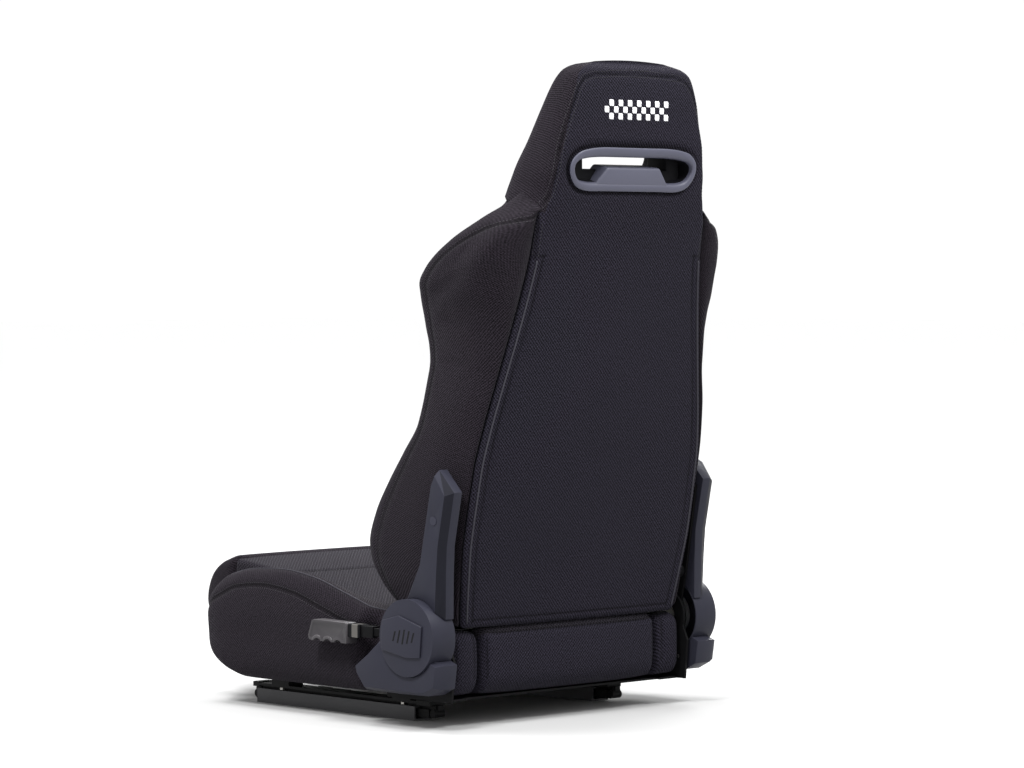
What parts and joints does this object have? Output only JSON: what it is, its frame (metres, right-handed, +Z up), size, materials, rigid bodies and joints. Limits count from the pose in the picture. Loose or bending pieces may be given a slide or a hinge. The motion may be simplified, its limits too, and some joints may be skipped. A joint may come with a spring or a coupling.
{
  "type": "reclining racing seat",
  "caption": "Reclining bucket seat with bolstered sides, harness slot in the head section, recliner lever and covers, on floor slider rails.",
  "frame": {"origin": "centre of the four floor bolt holes, in the plane of the lower rails' underside", "axes": "+Z up, -Y towards the front of the seat, +X towards the lever side"},
  "size_m": [0.6154, 0.7868, 0.9851],
  "materials": {
    "rail_steel": "satin",
    "rail_black": "satin",
    "zinc": "satin",
    "plastic_black": "matte",
    "steel_black": "satin",
    "spring_steel": "satin",
    "plastic_grip": "satin",
    "plastic_slate": "satin",
    "fabric_knit": "woven",
    "fabric_side": "woven",
    "fabric_panel": "woven",
    "thread": "stitched"
  },
  "bodies": {
    "rails": {"lower_rails": "rail_steel"},
    "cages": {"ball_cages": "zinc"},
    "seat": {"upper_rails": "rail_black", "rail_end_caps": "plastic_black", "rail_spacers": "plastic_black", "pan_bolts": "zinc", "seat_pan": "steel_black", "side_plates": "steel_black", "recliner_hubs": "zinc", "recliner_springs": "spring_steel", "base_cover_left": "plastic_slate", "base_cover_right": "plastic_slate", "hub_cap_left": "plastic_slate", "hub_cap_right": "plastic_slate", "cap_badges": "plastic_slate", "cover_screws": "zinc", "cushion_centre": "fabric_knit", "cushion_front_roll": "fabric_knit", "cushion_bolster_left": "fabric_side", "cushion_bolster_right": "fabric_side", "cushion_rear_block": "fabric_knit", "cushion_rear_end_left": "fabric_side", "cushion_rear_end_right": "fabric_side"},
    "release": {"towel_bar": "zinc", "towel_bar_pins": "zinc", "latch_levers": "steel_black"},
    "back": {"back_brackets": "steel_black", "back_frame": "steel_black", "back_springs": "spring_steel", "arm_cover_left": "plastic_slate", "arm_cover_right": "plastic_slate", "arm_plugs": "plastic_slate", "rear_panel": "fabric_panel", "back_pad_lower": "fabric_knit", "back_pad_upper": "fabric_knit", "back_bolster_left": "fabric_side", "back_bolster_right": "fabric_side", "head_pad": "fabric_side", "harness_guide_rear": "plastic_slate", "harness_guide_front": "plastic_slate", "head_emblem": "thread", "back_welts": "fabric_side"},
    "lever": {"sync_rod": "zinc", "lever_arm": "steel_black", "lever_ferrule": "zinc", "lever_grip": "plastic_grip", "rod_clips": "spring_steel"}
  },
  "joints": [
    {"name": "seat_slide", "type": "slide", "parent": "rails", "child": "seat", "axis": [0, -1, 0], "range_m": [-0.11, 0.11]},
    {"name": "cage_slide", "type": "slide", "parent": "rails", "child": "cages", "axis": [0, -1, 0], "range_m": [-0.055, 0.055]},
    {"name": "slider_release", "type": "hinge", "parent": "seat", "child": "release", "pos_m": [0, -0.06, 0.0235], "axis": [-1, 0, 0], "range_deg": [0, 8], "stiffness_Nm_per_rad": 2, "springref_deg": -22.92},
    {"name": "recline", "type": "hinge", "parent": "seat", "child": "back", "pos_m": [0, 0.266, 0.137], "axis": [-1, 0, 0], "range_deg": [-6, 60], "deforming": ["cushion_rear_block", "cushion_rear_end_left", "cushion_rear_end_right"]},
    {"name": "recliner_lever", "type": "hinge", "parent": "seat", "child": "lever", "pos_m": [0, 0.266, 0.137], "axis": [-1, 0, 0], "range_deg": [0, 25], "stiffness_Nm_per_rad": 2, "springref_deg": -28.65}
  ],
  "couplings": [
    {"joint": "cage_slide", "follows": "seat_slide", "ratio": 0.5}
  ]
}
